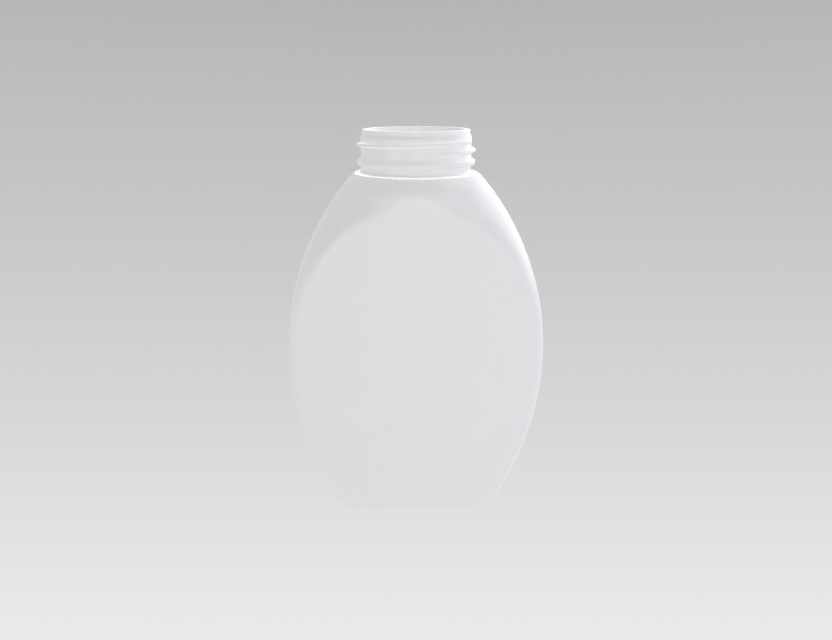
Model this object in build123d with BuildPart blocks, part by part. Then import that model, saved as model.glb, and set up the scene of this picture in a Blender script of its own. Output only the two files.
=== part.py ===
# Plain honey squeeze bottle: a flattened oval body, blow moulded in one piece with a 38 mm neck finish.
# Millimetres. +Z is up, the front panel faces -Y, and the origin is the middle of the standing face.
import os
from math import asin, atan2, cos, degrees, radians, sin, sqrt

from build123d import *

# Body, seen from the front and from the side
body_width = 84.4
body_depth = 44.6
base_width = 51.7
widest_height = 52.8
collar_height = 110.5  # the flat collar round the foot of the neck, where the shoulder ends
collar_radius = 19.65
collar_edge_radius = 2.2
front_shoulder_rise = 7.4  # the front and back turn in over this height below the collar

# Body, seen from above
panel_radius = 147.0
panel_setback = 4.6  # from the side of the body to the edge of the front panel
base_corner_radius = 3.6
widening_height = 67.0  # above it the rounded edge widens into the shoulder
arch_height = 103.1  # top of the panel's arch
arch_setback = 20.5  # the setback has grown to this there
bending_height = 100.0  # above it the front bends from the panel's radius to the collar's
collar_turn = 13.0  # degrees, the same for the front once the section is round

# Walls and base
body_wall = 1.1
base_wall = 1.6
base_edge_radius = 2.2
floor_edge_radius = 1.5
standing_rim = 7.0  # from the outside of the base to the push-up
push_up_height = 2.4
push_up_taper = 50.0  # degrees
push_up_corner_radius = 6.0
push_up_edge_radius = 1.0
throat_depth = 3.7  # below the collar the inside starts to close in
throat_wall = 0.8  # under the collar

# Neck finish
neck_radius = 17.35
bore_radius = 15.1
foot_radius = 1.0
finish_height = 13.0  # from the collar to the sealing face
bead_height = 2.0  # from the collar to the bead
bead_radius = 18.5
bead_width = 1.2
bead_lower_flank = 0.6
bead_upper_flank = 0.8
lead_in_height = 1.25  # the narrower stretch under the sealing face
lead_in_step = 0.3
lead_in_slope = 0.85
mouth_radius = 0.35

# The body's sections lie closer together towards the shoulder, where the shape turns faster
section_count = 16
closing_power = 1.5

top_height = collar_height + finish_height


def arc_drop(rise, end_rise, end_drop):
    """How far an arc that starts upright has moved in after a rise, if it moves end_drop in end_rise."""
    curvature = 2 * end_drop / (end_rise**2 + end_drop**2)
    return curvature * rise**2 / (1 + sqrt(1 - (curvature * rise) ** 2))


def half_width(height):
    """The front outline: one arc from the widest place down to the base, one up to the collar."""
    if height < widest_height:
        drop = arc_drop(widest_height - height, widest_height, (body_width - base_width) / 2)
    else:
        drop = arc_drop(height - widest_height, collar_height - widest_height, body_width / 2 - collar_radius)
    return body_width / 2 - drop


def half_depth(height):
    """The side outline: upright, then an arc in to the collar."""
    rise = max(height - (collar_height - front_shoulder_rise), 0)
    return body_depth / 2 - arc_drop(rise, front_shoulder_rise, body_depth / 2 - collar_radius)


def panel_half_width(height):
    """Half the front panel, which narrows upward into an arch."""
    growth = max(height - widening_height, 0) / (arch_height - widening_height)
    setback = panel_setback + (arch_setback - panel_setback) * growth**2
    return max(half_width(height) - setback, collar_radius * sin(radians(collar_turn)))


def front_radius(height):
    """The front's radius seen from above: the panel's, bending to the collar's at the top."""
    bend = max(height - bending_height, 0) / (collar_height - bending_height)
    return panel_radius + (collar_radius - panel_radius) * sqrt(bend)


def panel_edge(height, inset=0):
    """Where the front panel ends at a height, and how far it has turned there."""
    front = front_radius(height) - inset
    front_turn = asin(panel_half_width(height) / front_radius(height))
    return front * sin(front_turn), half_depth(height) - inset - front * (1 - cos(front_turn)), front_turn


# The side's arc turns through this from its middle, which leaves the corner its radius at the base
base_x, base_y, base_turn = panel_edge(0)
corner_short = half_width(0) - base_x - base_corner_radius * (1 - sin(base_turn))
side_turn = degrees(2 * atan2(corner_short, base_y - base_corner_radius * cos(base_turn)))


def section(height, inset=0):
    """The body's outline at a height, moved in by the inset: a ring of eight tangent arcs."""
    wide = half_width(height) - inset
    front = front_radius(height) - inset
    panel_x, panel_y, front_turn = panel_edge(height, inset)
    turn = radians(side_turn)

    # The corner and side radii that lead from the panel's edge to the middle of the side, upright there
    corner_x, side_x = cos(turn) - sin(front_turn), 1 - cos(turn)
    corner_y, side_y = cos(front_turn) - sin(turn), sin(turn)
    share = corner_x * side_y - side_x * corner_y
    corner = ((wide - panel_x) * side_y - panel_y * side_x) / share
    side = (panel_y * corner_x - (wide - panel_x) * corner_y) / share

    corner_turn = 90 - side_turn - degrees(front_turn)
    around = [(corner, corner_turn), (side, 2 * side_turn), (corner, corner_turn)]
    # Drawn without a builder, which would join the arcs into one circle where the section is round
    start_direction = (cos(front_turn), -sin(front_turn))
    ring = [JernArc((-panel_x, -panel_y), start_direction, front, 2 * degrees(front_turn))]
    for radius, angle in around + [(front, 2 * degrees(front_turn))] + around:
        ring.append(JernArc(ring[-1] @ 1, ring[-1] % 1, radius, angle))
    return Pos(Z=height) * make_face(ring)


def sections(bottom, top, inset=0):
    """The outlines to loft between two heights."""
    shares = [(1 - number / section_count) ** closing_power for number in range(section_count + 1)]
    return [section(top - (top - bottom) * share, inset) for share in shares]


throat_height = collar_height - throat_depth
bore_start = collar_height - throat_wall
bead_bottom = collar_height + bead_height + bead_lower_flank
lead_in_start = top_height - lead_in_height

outer_sections = sections(0, collar_height)
inner_sections = sections(base_wall, throat_height, body_wall)
base_outline = section(0)

# The hollow pushed up into the base
with BuildPart() as push_up:
    with BuildSketch():
        add(base_outline)
        offset(amount=-standing_rim)
    extrude(amount=push_up_height, taper=push_up_taper)
    fillet(push_up.edges() - push_up.faces().filter_by(Axis.Z).edges(), push_up_corner_radius)
    fillet(push_up.faces().sort_by(Axis.Z)[-1].edges(), push_up_edge_radius)

# The rise in the floor over that hollow
with BuildPart() as floor_rise:
    with BuildSketch():
        add(base_outline)
        offset(amount=base_wall - standing_rim)
    extrude(amount=push_up_height + base_wall, taper=push_up_taper)
    fillet(floor_rise.edges() - floor_rise.faces().filter_by(Axis.Z).edges(), push_up_corner_radius)
    fillet(floor_rise.faces().sort_by(Axis.Z)[-1].edges(), push_up_edge_radius)

with BuildPart() as bottle:
    # The body and its rounded base edge
    loft(outer_sections)
    fillet(bottle.faces().sort_by(Axis.Z)[0].edges(), base_edge_radius)

    # The neck finish on its collar, with the bead and the lead-in under the sealing face
    with BuildSketch(Plane.XZ):
        with BuildLine():
            Polyline(
                (0, throat_height),
                (0, top_height),
                (neck_radius - lead_in_step, top_height),
                (neck_radius - lead_in_step, lead_in_start),
                (neck_radius, lead_in_start - lead_in_slope),
                (neck_radius, bead_bottom + bead_width + bead_upper_flank),
                (bead_radius, bead_bottom + bead_width),
                (bead_radius, bead_bottom),
                (neck_radius, bead_bottom - bead_lower_flank),
                (neck_radius, throat_height),
                close=True,
            )
        make_face()
    revolve(axis=Axis.Z)
    collar = bottle.faces().filter_by(Axis.Z).filter_by_position(Axis.Z, throat_height, bead_bottom)[0]
    fillet(collar.inner_wires()[0].edges(), foot_radius)
    collar = bottle.faces().filter_by(Axis.Z).filter_by_position(Axis.Z, throat_height, bead_bottom)[0]
    fillet(collar.outer_wire().edges(), collar_edge_radius)

    # The inside: the body's walls, the throat that closes in under the collar, and the bore
    loft(inner_sections, mode=Mode.SUBTRACT)
    with BuildSketch(Plane.XY.offset(bore_start)) as bore_circle:
        Circle(bore_radius)
    loft([inner_sections[-1], bore_circle.sketch], ruled=True, mode=Mode.SUBTRACT)
    extrude(bore_circle.sketch, amount=top_height - bore_start, mode=Mode.SUBTRACT)
    mouth_edge = bottle.faces().sort_by(Axis.Z)[-1].inner_wires()[0].edges()
    fillet(mouth_edge, mouth_radius)
    floor = bottle.faces().filter_by(Axis.Z).sort_by(Axis.Z)[1]
    fillet(floor.edges(), floor_edge_radius)

    # The push-up leaves a rim to stand on
    add(floor_rise.part)
    add(push_up.part, mode=Mode.SUBTRACT)
    rim = bottle.faces().sort_by(Axis.Z)[0]
    fillet(rim.inner_wires()[0].edges(), push_up_edge_radius)

bottle.part.label = "bottle"
os.makedirs("parts", exist_ok=True)
export_step(bottle.part, "parts/bottle.step")
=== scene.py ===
from math import atan2, cos, pi, radians, sin

import bmesh
import bpy
import numpy as np
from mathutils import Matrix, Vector


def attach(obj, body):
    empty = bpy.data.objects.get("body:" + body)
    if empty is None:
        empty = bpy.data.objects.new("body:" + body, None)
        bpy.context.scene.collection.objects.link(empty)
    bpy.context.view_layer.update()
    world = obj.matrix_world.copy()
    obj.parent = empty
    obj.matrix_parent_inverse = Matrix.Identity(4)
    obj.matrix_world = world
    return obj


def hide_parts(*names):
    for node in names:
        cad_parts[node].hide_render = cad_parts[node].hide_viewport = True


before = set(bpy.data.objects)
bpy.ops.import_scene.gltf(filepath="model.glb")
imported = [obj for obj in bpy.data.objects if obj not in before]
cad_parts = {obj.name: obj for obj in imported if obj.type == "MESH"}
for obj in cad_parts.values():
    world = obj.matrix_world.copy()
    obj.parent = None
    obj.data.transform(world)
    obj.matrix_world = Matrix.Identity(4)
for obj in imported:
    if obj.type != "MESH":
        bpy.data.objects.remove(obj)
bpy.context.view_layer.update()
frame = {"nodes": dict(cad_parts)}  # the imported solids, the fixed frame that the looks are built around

print("frame loaded:", ", ".join(frame["nodes"]))

# Lengths are in millimetres up to the last step of each mesh. The front panel faces -Y.
millimetre = 0.001


# Camera: in front of the bottle and a little above it, looking down at the body

camera = {
    "distance": 223.1,  # from the bottle's middle, along -Y
    "height": 134.9,
    "downwards": 18.3,  # degrees below the horizon
    "lens": 30.07,
    "sensor": 36.0,
    "nearest": 10.0,  # what lies closer isn't drawn
}

cameraData = bpy.data.cameras.new("camera")
cameraData.lens = camera["lens"]
cameraData.sensor_width = camera["sensor"]
cameraData.clip_start = camera["nearest"] * millimetre
cameraObject = bpy.data.objects.new("camera", cameraData)
bpy.context.collection.objects.link(cameraObject)
cameraObject.location = Vector((0, -camera["distance"], camera["height"])) * millimetre
cameraObject.rotation_euler = (radians(90 - camera["downwards"]), 0, 0)
bpy.context.scene.camera = cameraObject
print("camera placed")


# Body: plain vertical panels front and back, whose edges widen upward into a round collar

body = {
    "width": 84.32,
    "depth": 44.6,
    "baseWidth": 51.7,
    "widestHeight": 52.8,
    "collarHeight": 110.5,
    "collarRadius": 19.65,
    "shoulderRise": 7.4,  # the front and back turn in over this height below the collar
    "panelRadius": 147.0,
    "panelSetback": 4.6,  # from the side of the body to the edge of the panel
    "wideningHeight": 67.0,  # above it that setback grows
    "archHeight": 103.1,
    "archSetback": 20.5,
    "bendingHeight": 100.0,  # above it the front bends from the panel's radius to the collar's
    "baseCorner": 3.6,  # the corner's radius at the base, seen from above
    "collarTurn": 13.0,  # degrees of the front's arc at the collar
    "wall": 1.1,
    "baseWall": 1.6,
    "baseEdge": 2.2,
    "baseSteps": 10,
    "floorEdge": 1.5,
    "floorSteps": 5,
    "collarEdge": 1.95,
    "standingRim": 7.0,  # from the outside of the base to the push-up
    "pushUpHeight": 2.4,
    "pushUpSlope": 2.9,  # how far in the push-up's side leans
    "pushUpEdge": 1.0,
    "pushUpSteps": 4,
    "pushUpRings": (18.0, 14.0),  # rings on its flat, by their distance in from the base's outline
    "floorLead": 1.0,  # the floor inside starts to rise this far before the push-up does
    "floorRings": (13.0, 17.0),  # rings on the top of that rise, in from the inside's outline
    "throatDepth": 3.7,  # below the collar, where the inside starts to close in
    "wallBottom": 4.0,  # the wall's rows run from this height
    "wallTop": 2.2,  # up to this far below the collar
    "innerBottom": 4.5,  # lowest row of the inside's wall
    "wallRows": 104,
    "innerRows": 44,
    "frontColumns": 18,
    "cornerColumns": 40,
    "sideColumns": 12,
    "seamHeight": 0.035,  # the mould's parting line, up the middle of both sides
    "seamColumns": (0.97, 0.985, 0.992),  # shares of the side's arc, the last at the line's foot
}

neck = {
    "radius": 17.25,
    "bore": 15.1,
    "footHeight": body["collarHeight"],
    "footFillet": 1.0,
    "topHeight": 123.5,
    "beadRadius": 18.5,
    "beadBottom": 113.1,
    "beadWidth": 1.2,
    "beadLowerFlank": 0.18,
    "beadUpperFlank": 0.8,
    "beadEdge": 0.3,
    "beadLowerEdge": 0.08,
    "rootFillet": 0.2,
    "leadInHeight": 1.25,  # the narrower land under the sealing face
    "leadInSlope": 1.0,
    "leadInStep": 0.45,
    "leadInEdge": 0.12,
    "rimEdge": 0.12,
    "mouthEdge": 0.2,
    "throatWall": 0.8,
    "throatEdge": 1.0,  # rounding where the bore ends in the throat
}


def arcDrop(rise, endRise, endDrop):
    # An upright arc that moves in by endDrop over endRise: c·rise² / (1 + the root of 1 - (c·rise)²),
    # where c is the arc's curvature
    curvature = 2 * endDrop / (endRise**2 + endDrop**2)
    return curvature * rise**2 / (1 + np.sqrt(1 - (curvature * rise) ** 2))


def halfWidth(height):
    # One arc from the widest place down to the base, another up to the collar
    below = np.clip(body["widestHeight"] - height, 0, None)
    above = np.clip(height - body["widestHeight"], 0, None)
    half = body["width"] / 2
    baseDrop = arcDrop(below, body["widestHeight"], half - body["baseWidth"] / 2)
    collarDrop = arcDrop(above, body["collarHeight"] - body["widestHeight"], half - body["collarRadius"])
    return half - baseDrop - collarDrop


def halfDepth(height):
    # Upright, then an arc in to the collar
    half = body["depth"] / 2
    rise = np.clip(height - body["collarHeight"] + body["shoulderRise"], 0, None)
    return half - arcDrop(rise, body["shoulderRise"], half - body["collarRadius"])


def panelHalfWidth(height):
    # Half the width less a setback, which grows with the square of the height over its start
    start = body["wideningHeight"]
    growth = np.clip(height - start, 0, None) / (body["archHeight"] - start)
    setback = body["panelSetback"] + (body["archSetback"] - body["panelSetback"]) * growth**2
    least = body["collarRadius"] * sin(radians(body["collarTurn"]))
    return np.maximum(halfWidth(height) - setback, least)


def frontRadius(height):
    # The panel's radius, bending to the collar's with the root of the height over its start
    start = body["bendingHeight"]
    bend = np.clip(height - start, 0, None) / (body["collarHeight"] - start)
    return body["panelRadius"] + (body["collarRadius"] - body["panelRadius"]) * np.sqrt(bend)


def panelEdge(height, inset=0.0):
    # The end of the front arc: radius times (sin a, 1 - cos a) from the front's middle, a being its turn
    front = frontRadius(height) - inset
    frontTurn = np.arcsin(panelHalfWidth(height) / frontRadius(height))
    y = halfDepth(height) - inset - front * (1 - np.cos(frontTurn))
    return front * np.sin(frontTurn), y, frontTurn


def sideArcTurn():
    # Twice the angle of the line from the base's corner arc to the middle of the side
    x, y, frontTurn = panelEdge(0.0)
    across = halfWidth(0.0) - x - body["baseCorner"] * (1 - np.sin(frontTurn))
    return 2 * atan2(across, y - body["baseCorner"] * np.cos(frontTurn))


def quarterShares():
    # For each column of a quarter ring: which arc it lies on (front, corner, side) and how far along it
    counts = (body["frontColumns"], body["cornerColumns"], body["sideColumns"])
    seam = list(body["seamColumns"]) + [1.0]
    arcs = [np.full(count, number) for number, count in enumerate(counts)]
    along = [np.arange(count) / count for count in counts]
    return np.concatenate(arcs + [[2] * len(seam)]), np.concatenate(along + [seam])


def mirrored(points, xFlip, yFlip):
    # Each coordinate times 1, or times -1 where it flips
    return points * np.array([xFlip, yFlip, 1])


def wholeRing(quarter):
    # The front right quarter, its mirror image at the back, and both mirrored to the left
    right = np.concatenate([quarter, mirrored(quarter[:, -2::-1], 1, -1)], axis=1)
    return np.concatenate([right, mirrored(right[:, -2:0:-1], -1, 1)], axis=1)


def bodyRings(heights, inset=0.0):
    # Rings of eight tangent arcs. Along each arc a point is the arc's middle plus its radius times
    # (sin a, -cos a), where a is the direction the wall faces, from the front round to the side.
    z = np.asarray(heights, float)[:, None]
    wide = halfWidth(z) - inset
    deep = halfDepth(z) - inset
    front = frontRadius(z) - inset
    panelX, panelY, frontTurn = panelEdge(z, inset)
    turn = sideArcTurn()

    # The corner and side radii that lead from the panel's edge to the middle of the side
    cornerX, sideX = np.cos(turn) - np.sin(frontTurn), 1 - np.cos(turn)
    cornerY, sideY = np.cos(frontTurn) - np.sin(turn), np.sin(turn)
    share = cornerX * sideY - sideX * cornerY
    corner = ((wide - panelX) * sideY - panelY * sideX) / share
    side = (panelY * cornerX - (wide - panelX) * cornerY) / share

    arcs, along = quarterShares()

    def byArc(onFront, onCorner, onSide):
        return np.where(arcs == 0, onFront, np.where(arcs == 1, onCorner, onSide))

    startTurn = byArc(0, frontTurn, pi / 2 - turn)
    endTurn = byArc(frontTurn, pi / 2 - turn, pi / 2)
    facing = startTurn + (endTurn - startTurn) * along
    radius = byArc(front, corner, side)
    middleX = byArc(0, panelX - corner * np.sin(frontTurn), wide - side)
    middleY = byArc(front - deep, corner * np.cos(frontTurn) - panelY, 0)
    x = middleX + radius * np.sin(facing)
    y = middleY - radius * np.cos(facing)
    return wholeRing(np.stack([x, y, np.broadcast_to(z, x.shape)], axis=2))


def circle(radius, height):
    # The collar's ring times the share of the radii, so its columns lie in the same directions
    collar = bodyRings([body["collarHeight"]])[0]
    flat = collar[:, :2] * radius / body["collarRadius"]
    return np.column_stack([flat, np.full(len(collar), height)])


def roundedPath(stations):
    # Carries each column from station to station. A station with a radius is an arc: the conic through
    # the two points a tangent length from the corner, weighted by the cosine of half the turn.
    rows = []
    for number, (corner, radius, steps) in enumerate(stations):
        if radius == 0:
            rows.append(corner)
            continue
        towards = stations[number - 1][0] - corner
        away = stations[number + 1][0] - corner
        towards = towards / np.linalg.norm(towards, axis=1, keepdims=True)
        away = away / np.linalg.norm(away, axis=1, keepdims=True)
        halfTurn = (pi - np.arccos(np.clip(np.sum(towards * away, axis=1, keepdims=True), -1, 1))) / 2
        length = radius * np.tan(halfTurn)
        for t in np.linspace(0, 1, steps + 1):
            weights = ((1 - t) ** 2, 2 * t * (1 - t) * np.cos(halfTurn), t**2)
            points = (corner + towards * length, corner, corner + away * length)
            rows.append(sum(w * p for w, p in zip(weights, points)) / sum(weights))
    return np.array(rows)


def plain(rings):
    # Stations that the path passes through without a rounding
    return [(ring, 0, 0) for ring in rings]


def scaledRing(ring, inset, height):
    # The outline times the share that draws it in by the inset at the middle of its front and its side
    reach = np.abs(ring[:, :2]).max(axis=0)
    return np.column_stack([ring[:, :2] * (reach - inset) / reach, np.full(len(ring), height)])


def closedShell(name, rows):
    # Quads between neighbouring rows, and a fan to a pole at the middle of the first and the last row
    count = rows.shape[1]
    poles = rows[[0, -1]].mean(axis=1)
    points = np.concatenate([rows.reshape(-1, 3), poles]) * millimetre
    row = np.arange(len(rows) - 1)[:, None] * count
    here = np.arange(count)[None, :]
    there = (here + 1) % count
    corners = [row + here, row + there, row + count + there, row + count + here]
    quads = np.stack(corners, axis=2).reshape(-1, 4)
    firstPole = len(points) - 2
    lastRow = (len(rows) - 1) * count
    firstFan = np.stack([np.full(count, firstPole), there[0], here[0]], axis=1)
    lastFan = np.stack([np.full(count, firstPole + 1), lastRow + here[0], lastRow + there[0]], axis=1)
    mesh = bpy.data.meshes.new(name)
    mesh.from_pydata(points.tolist(), [], quads.tolist() + firstFan.tolist() + lastFan.tolist())
    mesh.shade_smooth()
    mesh.update()
    piece = bpy.data.objects.new(name, mesh)
    bpy.context.collection.objects.link(piece)
    return piece


def bottleRows():
    # One path from under the base, up the outside, over the mouth and down the inside to the floor
    base = bodyRings([0.0])[0]
    pushUp, rim = body["pushUpHeight"], body["standingRim"]
    edge, edgeSteps = body["pushUpEdge"], body["pushUpSteps"]
    stations = plain([scaledRing(base, reach, pushUp) for reach in body["pushUpRings"]])
    stations += [
        (scaledRing(base, rim + body["pushUpSlope"], pushUp), edge, edgeSteps),
        (scaledRing(base, rim, 0.0), edge, edgeSteps),
    ]
    stations += plain([scaledRing(base, rim / 2, 0.0)])
    stations += [(base, body["baseEdge"], body["baseSteps"])]

    wallTop = body["collarHeight"] - body["wallTop"]
    stations += plain(bodyRings(np.linspace(body["wallBottom"], wallTop, body["wallRows"])))

    # The collar, the neck up to the rim, and the bore: each corner's radius, height, rounding and steps
    beadTop = neck["beadBottom"] + neck["beadWidth"]
    leadIn = neck["topHeight"] - neck["leadInHeight"]
    leadRadius = neck["radius"] - neck["leadInStep"]
    outside = [
        (body["collarRadius"], body["collarHeight"], body["collarEdge"], 5),
        (neck["radius"], neck["footHeight"], neck["footFillet"], 8),
        (neck["radius"], neck["beadBottom"] - neck["beadLowerFlank"], neck["rootFillet"], 3),
        (neck["beadRadius"], neck["beadBottom"], neck["beadLowerEdge"], 3),
        (neck["beadRadius"], beadTop, neck["beadEdge"], 4),
        (neck["radius"], beadTop + neck["beadUpperFlank"], neck["rootFillet"], 3),
        (neck["radius"], leadIn - neck["leadInSlope"], neck["leadInEdge"], 3),
        (leadRadius, leadIn, neck["leadInEdge"], 3),
        (leadRadius, neck["topHeight"], neck["rimEdge"], 4),
        (neck["bore"], neck["topHeight"], neck["mouthEdge"], 5),
        (neck["bore"], neck["footHeight"] - neck["throatWall"], neck["throatEdge"], 4),
    ]
    stations += [(circle(radius, height), bend, steps) for radius, height, bend, steps in outside]

    throat = body["collarHeight"] - body["throatDepth"]
    innerHeights = np.linspace(throat, body["innerBottom"], body["innerRows"])
    innerBase = bodyRings([body["baseWall"]], body["wall"])[0]
    stations += plain(bodyRings(innerHeights, body["wall"]))
    stations += [(innerBase, body["floorEdge"], body["floorSteps"])]
    riseStart = rim - body["wall"] - body["floorLead"]
    riseTop = body["baseWall"] + pushUp
    stations += [
        (scaledRing(innerBase, riseStart, body["baseWall"]), edge, edgeSteps),
        (scaledRing(innerBase, riseStart + body["pushUpSlope"], riseTop), edge, edgeSteps),
    ]
    stations += plain([scaledRing(innerBase, reach, riseTop) for reach in body["floorRings"]])
    return roundedPath(stations)


def raiseSeam(rows):
    # The middle column of each side moves straight out, on the rows up to the land under the sealing
    # face. Under the base the rings on the push-up's flat are left as they are.
    land = neck["topHeight"] - neck["leadInHeight"]
    outside = np.arange(len(rows)) < np.argmax(rows[:, 0, 2] > land)
    quarter = len(quarterShares()[0]) - 1
    for column, side in ((quarter, 1), (3 * quarter, -1)):
        farOut = np.abs(rows[:, column, 0]) > body["baseWidth"] / 4
        rows[outside & farOut, column, 0] += side * body["seamHeight"]
    return rows


bottleShell = closedShell("bottleShell", raiseSeam(bottleRows()))
print("bottle shell:", len(bottleShell.data.polygons), "faces")


# Thread: one raised ridge that climbs a little more than once round the neck

thread = {
    "crestRadius": 18.6,
    "crestWidth": 0.62,
    "lowerFlank": 0.5,
    "upperFlank": 0.57,
    "pitch": 2.98,
    "sideHeight": 117.38,  # middle of the crest where it first passes the right side
    "start": 8.0,  # degrees round from the front
    "end": 448.0,
    "startFade": 60.0,
    "endFade": 34.0,
    "sunk": 0.4,  # how far the ridge's closed back lies inside the neck's wall
    "rootSunk": 0.08,  # the flanks start this far inside the wall
    "rootSpread": 0.1,  # and this far past their own foot
    "endSunk": 0.06,  # the ends run out just under the neck's wall
    "hollow": (0.25, 0.66),  # a point on the flank, as shares of the height and of the flank's width
    "edge": 0.2,  # width of the crest's rounded edges
    "edgeMiddle": (0.12, 0.1),  # a point on them, as shares of that: below the crest and past its end
    "columns": 380,
}


def smoothStep(value):
    # Rises from 0 to 1 as 3v² - 2v³
    value = np.clip(value, 0, 1)
    return value**2 * (3 - 2 * value)


def flankPoints(height, flank):
    # One side of the ridge from its back to its crest. Each point is a distance out from the neck's wall
    # and a distance past the crest's end: the sunk foot, the hollow of the flank, and the rounded edge.
    edge = thread["edge"]
    foot = np.zeros_like(height)
    share, past = thread["hollow"]
    below, beyond = thread["edgeMiddle"]
    return [
        (foot - thread["sunk"], flank + thread["rootSpread"]),
        (foot - thread["rootSunk"], flank + thread["rootSpread"]),
        (height * share, flank * past),
        (height - height / flank * edge / 2, edge / 2),
        (height - edge * below, edge * beyond),
        (height, -edge / 2),
    ]


def threadProfile(height):
    # The lower flank up to the crest and the upper flank back down, as distances out and heights along
    half = thread["crestWidth"] / 2
    lower = flankPoints(height, thread["lowerFlank"])
    upper = flankPoints(height, thread["upperFlank"])[::-1]
    out = [outward for outward, _ in lower + upper]
    along = [-half - past for _, past in lower] + [half + past for _, past in upper]
    return np.stack(out, axis=1), np.array(along)


def threadRows():
    # A helix round the neck: its height is the pitch times the turns past the right side, and the ridge's
    # height is the crest's, times a smooth step up from the start and one down to the end
    degrees = np.linspace(thread["start"], thread["end"], thread["columns"])
    fade = smoothStep((degrees - thread["start"]) / thread["startFade"])
    fade = fade * smoothStep((thread["end"] - degrees) / thread["endFade"])
    out, along = threadProfile((thread["crestRadius"] - neck["radius"]) * fade)
    radius = neck["radius"] + out
    radius = radius - thread["endSunk"] * (1 - fade[:, None])
    middle = thread["sideHeight"] + thread["pitch"] * (degrees - 90) / 360
    turn = np.radians(degrees)[:, None]
    z = middle[:, None] + along[None, :]
    return np.stack([radius * np.sin(turn), -radius * np.cos(turn), z], axis=2)


neckThread = closedShell("neckThread", threadRows())
print("thread:", len(neckThread.data.polygons), "faces")


# Plastic: milky white and glossy, with the faint cloudiness and ripple of blown polyethylene

plastic = {
    "colour": (0.90, 0.90, 0.903, 1),
    "cloudColour": (0.86, 0.86, 0.867, 1),
    "cloudAmount": 0.5,
    "gloss": 0.3,
    "glossChange": 0.06,
    "cloudScale": 60.0,
    "cloudDetail": 3.0,
    "skinScale": 1400.0,
    "skinDetail": 2.0,
    "skinShare": 0.25,  # height of the fine skin beside that of the slow ripple
    "bump": 0.03,
    "bumpHeight": 0.0003,
    "paintedHighlight": 0.0,  # how much of the painted highlight, a paler colour, shows on what faces down
    "paintedHighlightColour": (0.99, 0.99, 0.99, 1),
    "paintedHighlightFrom": 0.4,  # it starts here and is full here, where 0 is upright and 1 faces straight down
    "paintedHighlightTo": 0.7,
    "refraction": 1.5,
}
threadPlastic = {**plastic, "paintedHighlight": 1.0}  # a painted highlight: paler colour on the thread's underside, standing in for light from below


def plasticGroup():
    # One noise clouds the colour and the roughness. The height is that noise as a slow ripple, plus a
    # share of a finer noise for the skin.
    group = bpy.data.node_groups.new("blownPlastic", "ShaderNodeTree")
    sockets = (
        ("Colour", "INPUT", "NodeSocketColor"),
        ("Cloud Colour", "INPUT", "NodeSocketColor"),
        ("Cloud Amount", "INPUT", "NodeSocketFloat"),
        ("Gloss", "INPUT", "NodeSocketFloat"),
        ("Gloss Change", "INPUT", "NodeSocketFloat"),
        ("Cloud Scale", "INPUT", "NodeSocketFloat"),
        ("Skin Scale", "INPUT", "NodeSocketFloat"),
        ("Colour", "OUTPUT", "NodeSocketColor"),
        ("Roughness", "OUTPUT", "NodeSocketFloat"),
        ("Height", "OUTPUT", "NodeSocketFloat"),
    )
    for name, direction, kind in sockets:
        group.interface.new_socket(name, in_out=direction, socket_type=kind)
    nodes, links = group.nodes, group.links
    given = nodes.new("NodeGroupInput")
    made = nodes.new("NodeGroupOutput")
    place = nodes.new("ShaderNodeTexCoord")

    cloud = nodes.new("ShaderNodeTexNoise")
    cloud.inputs["Detail"].default_value = plastic["cloudDetail"]
    links.new(place.outputs["Object"], cloud.inputs["Vector"])
    links.new(given.outputs["Cloud Scale"], cloud.inputs["Scale"])

    skin = nodes.new("ShaderNodeTexNoise")
    skin.inputs["Detail"].default_value = plastic["skinDetail"]
    links.new(place.outputs["Object"], skin.inputs["Vector"])
    links.new(given.outputs["Skin Scale"], skin.inputs["Scale"])

    amount = nodes.new("ShaderNodeMath")
    amount.operation = "MULTIPLY"
    links.new(cloud.outputs["Fac"], amount.inputs[0])
    links.new(given.outputs["Cloud Amount"], amount.inputs[1])
    tint = nodes.new("ShaderNodeMix")
    tint.data_type = "RGBA"
    links.new(amount.outputs[0], tint.inputs["Factor"])
    links.new(given.outputs["Colour"], tint.inputs["A"])
    links.new(given.outputs["Cloud Colour"], tint.inputs["B"])
    links.new(tint.outputs["Result"], made.inputs["Colour"])

    change = nodes.new("ShaderNodeMath")
    change.operation = "MULTIPLY_ADD"
    links.new(cloud.outputs["Fac"], change.inputs[0])
    links.new(given.outputs["Gloss Change"], change.inputs[1])
    links.new(given.outputs["Gloss"], change.inputs[2])
    links.new(change.outputs[0], made.inputs["Roughness"])

    ripple = nodes.new("ShaderNodeMath")
    ripple.operation = "MULTIPLY_ADD"
    links.new(skin.outputs["Fac"], ripple.inputs[0])
    ripple.inputs[1].default_value = plastic["skinShare"]
    links.new(cloud.outputs["Fac"], ripple.inputs[2])
    links.new(ripple.outputs[0], made.inputs["Height"])
    return group


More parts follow.
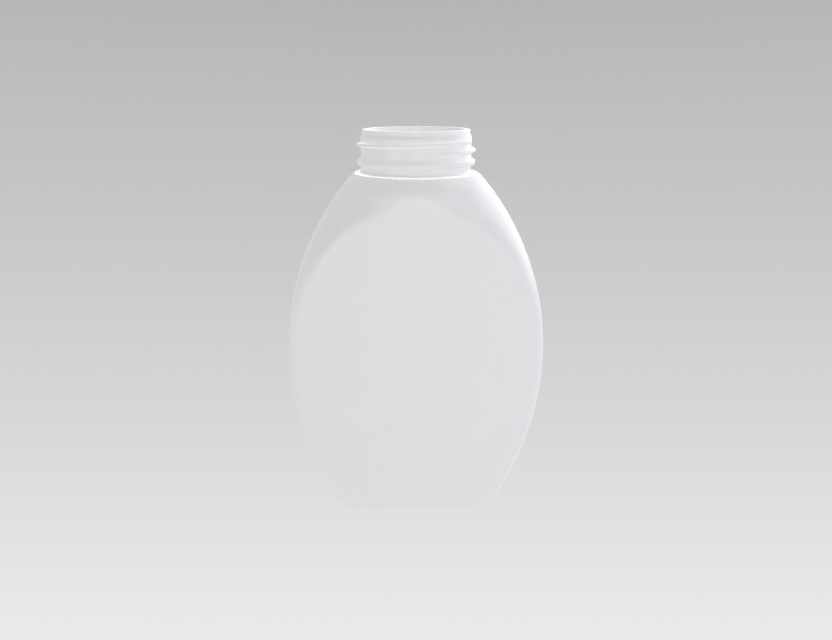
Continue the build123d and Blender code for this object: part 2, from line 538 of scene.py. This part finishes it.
def plasticMaterial(name, group, finish):
    # The group's clouds, roughness and ripple, with a painted highlight: a paler colour mixed in where
    # the surface faces down
    material = bpy.data.materials.new(name)
    material.use_nodes = True
    nodes, links = material.node_tree.nodes, material.node_tree.links
    shader = nodes["Principled BSDF"]
    shader.inputs["IOR"].default_value = finish["refraction"]
    surface = nodes.new("ShaderNodeGroup")
    surface.node_tree = group
    surface.inputs["Colour"].default_value = finish["colour"]
    surface.inputs["Cloud Colour"].default_value = finish["cloudColour"]
    surface.inputs["Cloud Amount"].default_value = finish["cloudAmount"]
    surface.inputs["Gloss"].default_value = finish["gloss"]
    surface.inputs["Gloss Change"].default_value = finish["glossChange"]
    surface.inputs["Cloud Scale"].default_value = finish["cloudScale"]
    surface.inputs["Skin Scale"].default_value = finish["skinScale"]
    bump = nodes.new("ShaderNodeBump")
    bump.inputs["Strength"].default_value = finish["bump"]
    bump.inputs["Distance"].default_value = finish["bumpHeight"]

    # Painted highlight: a paler colour where the surface faces down, standing in for light from below
    facing = nodes.new("ShaderNodeNewGeometry")
    parts = nodes.new("ShaderNodeSeparateXYZ")
    links.new(facing.outputs["Normal"], parts.inputs[0])
    paintedHighlightMask = nodes.new("ShaderNodeMapRange")
    paintedHighlightMask.inputs["From Min"].default_value = -finish["paintedHighlightFrom"]
    paintedHighlightMask.inputs["From Max"].default_value = -finish["paintedHighlightTo"]
    paintedHighlightMask.inputs["To Max"].default_value = finish["paintedHighlight"]
    links.new(parts.outputs["Z"], paintedHighlightMask.inputs["Value"])
    paintedHighlightMix = nodes.new("ShaderNodeMix")
    paintedHighlightMix.data_type = "RGBA"
    paintedHighlightMix.inputs["B"].default_value = finish["paintedHighlightColour"]
    links.new(paintedHighlightMask.outputs["Result"], paintedHighlightMix.inputs["Factor"])
    links.new(surface.outputs["Colour"], paintedHighlightMix.inputs["A"])
    links.new(paintedHighlightMix.outputs["Result"], shader.inputs["Base Color"])
    links.new(surface.outputs["Roughness"], shader.inputs["Roughness"])
    links.new(surface.outputs["Height"], bump.inputs["Height"])
    links.new(bump.outputs["Normal"], shader.inputs["Normal"])
    return material


blownPlastic = plasticGroup()
for piece, finish in ((bottleShell, plastic), (neckThread, threadPlastic)):
    piece.data.materials.append(plasticMaterial(piece.name + "Plastic", blownPlastic, finish))
    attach(piece, "root")
    # Milky walls let the soft light through, so none of them shades or tints another
    piece.visible_shadow = False
    piece.visible_diffuse = False
    piece.visible_glossy = False
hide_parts("bottle")
print("plastic on the bottle")


# Stage: a pale floor that curves up into a wall all round, brightest in front

stage = {
    "floorRings": (0.05, 0.2, 0.6),  # metres, as all of the stage's lengths
    "floorRadius": 1.5,
    "curve": 0.7,
    "curveRows": 17,
    "wallHeight": 2.4,
    "drop": 0.00005,
    "columns": 96,
    "farLevel": 0.512,  # brightness far behind the bottle
    "nearShare": 0.047,  # added brightness, over the distance from a line across the floor in front
    "fadeFrom": 0.2231,  # how far in front of the bottle's middle that line lies
    "fadeStart": 0.12,  # within this of the line it grows no brighter
    "fadeAside": 0.1,  # nor within this share of the distance to the side
    "fadePower": 8.0,  # how sharply it stops growing there
    "heightLoss": 0.165,  # brightness lost per metre up the wall
    "floorFront": 0.795,  # what the floor and the wall send to the bottle, in front of it and behind
    "floorBehind": 0.792,
    "wallFront": 0.221,
    "wallBehind": 0.662,
    "crossing": 0.6,  # metres over which the front's level goes over to the one behind
    "lightTint": (0.997, 0.994, 1.009),
    "roughness": 0.9,
}


def stageRows():
    # A flat disc, a quarter circle up, and an upright wall, carried round the middle
    bend = np.linspace(0, pi / 2, stage["curveRows"])
    curve, flat, rings = stage["curve"], stage["floorRadius"], stage["floorRings"]
    radius = np.concatenate([rings, flat + curve * np.sin(bend), [flat + curve]])
    level = np.zeros(len(rings))
    height = np.concatenate([level, curve * (1 - np.cos(bend)), [stage["wallHeight"]]]) - stage["drop"]
    turn = np.linspace(0, 2 * pi, stage["columns"], endpoint=False)
    x = radius[:, None] * np.sin(turn)
    y = -radius[:, None] * np.cos(turn)
    return np.stack([x, y, np.broadcast_to(height[:, None], x.shape)], axis=2) / millimetre


def openBowl(name, rows):
    # A closed shell without its lid, with its faces turned inward
    piece = closedShell(name, rows)
    mesh = piece.data
    lastPole = len(mesh.vertices) - 1
    sheet = bmesh.new()
    sheet.from_mesh(mesh)
    sheet.verts.ensure_lookup_table()
    bmesh.ops.delete(sheet, geom=[sheet.verts[lastPole]], context="VERTS")
    bmesh.ops.reverse_faces(sheet, faces=sheet.faces[:])
    sheet.to_mesh(mesh)
    sheet.free()
    return piece


floor = openBowl("floor", stageRows())


def stageMaterial():
    # A glow of its own: one level for the camera, and another for what lights the bottle
    material = bpy.data.materials.new("paleStage")
    material.use_nodes = True
    nodes, links = material.node_tree.nodes, material.node_tree.links
    shader = nodes["Principled BSDF"]
    shader.inputs["Base Color"].default_value = (0.0, 0.0, 0.0, 1)
    shader.inputs["Roughness"].default_value = stage["roughness"]
    shader.inputs["Specular IOR Level"].default_value = 0.0
    place = nodes.new("ShaderNodeTexCoord")
    parts = nodes.new("ShaderNodeSeparateXYZ")
    links.new(place.outputs["Object"], parts.inputs[0])

    def step(operation, *values):
        # One step of arithmetic, on numbers or on what other nodes give
        node = nodes.new("ShaderNodeMath")
        node.operation = operation
        for number, value in enumerate(values):
            if hasattr(value, "is_output"):
                links.new(value, node.inputs[number])
            else:
                node.inputs[number].default_value = value
        return node.outputs[0]

    def blend(first, second, share):
        return step("ADD", first, step("MULTIPLY", step("SUBTRACT", second, first), share))

    # What the camera sees of it: a base level plus a share over the distance, less a little with height.
    # The distance is held above its least values softly: it is a root of the sum of their powers.
    power = stage["fadePower"]
    forward = step("MAXIMUM", step("ADD", parts.outputs["Y"], stage["fadeFrom"]), 0.0)
    sideways = step("MULTIPLY", step("ABSOLUTE", parts.outputs["X"]), stage["fadeAside"])
    powers = step("ADD", step("POWER", forward, power), step("POWER", sideways, power))
    away = step("POWER", step("ADD", powers, stage["fadeStart"] ** power), 1 / power)
    near = step("DIVIDE", stage["nearShare"], away)
    high = step("MULTIPLY", parts.outputs["Z"], -stage["heightLoss"])
    seen = step("ADD", step("ADD", near, high), stage["farLevel"])

    # What it lights the bottle with: the floor's level, going over to the wall's up the curve,
    # and for both the level in front, going over to the one behind across the middle
    upright = step("MINIMUM", step("DIVIDE", parts.outputs["Z"], stage["curve"]), 1.0)
    past = step("ADD", step("DIVIDE", parts.outputs["Y"], stage["crossing"]), 0.5)
    behind = step("MINIMUM", step("MAXIMUM", past, 0.0), 1.0)
    ground = blend(stage["floorFront"], stage["floorBehind"], behind)
    wall = blend(stage["wallFront"], stage["wallBehind"], behind)
    given = blend(ground, wall, upright)

    # The camera's own rays take the first, all others the second
    ray = nodes.new("ShaderNodeLightPath")
    direct = ray.outputs["Is Camera Ray"]
    indirect = step("SUBTRACT", 1.0, direct)
    tone = nodes.new("ShaderNodeCombineColor")
    for channel, share in zip(("Red", "Green", "Blue"), stage["lightTint"]):
        tinted = step("MULTIPLY", step("MULTIPLY", given, share), indirect)
        links.new(step("ADD", step("MULTIPLY", seen, direct), tinted), tone.inputs[channel])
    links.new(tone.outputs["Color"], shader.inputs["Emission Color"])
    shader.inputs["Emission Strength"].default_value = 1.0
    material.cycles.emission_sampling = "NONE"
    return material


floor.data.materials.append(stageMaterial())
print("stage made")


# Lights: soft panels round the bottle, out of the camera's sight

lightRig = {
    "target": (0.0, 0.0, 0.06),  # metres, as the distance
    "distance": 1.3,
    "surround": 0.373,  # brightness of the sky over the stage
}

# Each panel: degrees round from the front, degrees up, width and height in metres, watts, colour
lightPanels = {
    "lightRightLow": (90, 6, 0.6, 0.30, 1.20, (0.67, 0.68, 1.00)),
    "lightBackRightLow": (120, 6, 0.6, 0.30, 0.95, (0.96, 1.00, 0.97)),
    "lightBehindRightLow": (150, 6, 0.6, 0.30, 1.17, (1.00, 0.97, 0.74)),
    "lightBackRightMiddle": (120, 22, 0.6, 0.42, 1.32, (0.89, 0.92, 1.00)),
    "lightBehindRightMiddle": (150, 22, 0.6, 0.42, 1.11, (0.96, 0.98, 1.00)),
    "lightBackMiddle": (180, 22, 0.6, 0.42, 1.98, (1.00, 0.99, 1.00)),
    "lightRightHigh": (90, 42, 0.6, 0.42, 0.13, (0.69, 0.63, 1.00)),
    "lightBackRightHigh": (120, 42, 0.6, 0.42, 0.47, (1.00, 0.95, 0.98)),
    "lightBehindRightHigh": (150, 42, 0.6, 0.42, 1.02, (1.00, 0.97, 0.95)),
    "lightRightTop": (90, 62, 0.6, 0.42, 1.28, (1.00, 1.00, 0.88)),
    "lightBackTop": (180, 62, 0.6, 0.42, 2.75, (1.00, 1.00, 0.97)),
    "lightBackLeftTop": (-120, 62, 0.6, 0.42, 0.75, (0.78, 0.83, 1.00)),
    "lightFrontLow": (0, 8, 0.6, 0.35, 1.67, (1.00, 0.97, 0.93)),
    "lightFrontRightLow": (45, 8, 0.6, 0.35, 1.37, (0.83, 0.86, 1.00)),
    "lightFrontLeftLow": (-45, 8, 0.6, 0.35, 1.77, (1.00, 0.93, 0.79)),
    "lightFrontRightMiddle": (50, 35, 0.6, 0.35, 1.00, (0.87, 0.92, 1.00)),
}

for name, (azimuth, elevation, width, height, watts, colour) in lightPanels.items():
    lamp = bpy.data.lights.new(name, "AREA")
    lamp.shape = "RECTANGLE"
    lamp.size = width
    lamp.size_y = height
    lamp.energy = watts
    lamp.color = colour
    holder = bpy.data.objects.new(name, lamp)
    bpy.context.collection.objects.link(holder)
    across, up = radians(azimuth), radians(elevation)
    outward = Vector((sin(across) * cos(up), -cos(across) * cos(up), sin(up)))
    holder.location = Vector(lightRig["target"]) + outward * lightRig["distance"]
    holder.rotation_euler = outward.to_track_quat("Z", "Y").to_euler()
    holder.visible_camera = False

world = bpy.data.worlds.new("world")
world.use_nodes = True
grey = lightRig["surround"]
world.node_tree.nodes["Background"].inputs["Color"].default_value = (grey, grey, grey, 1)
bpy.context.scene.world = world
bpy.context.scene.view_settings.view_transform = "Standard"
print("lights set")
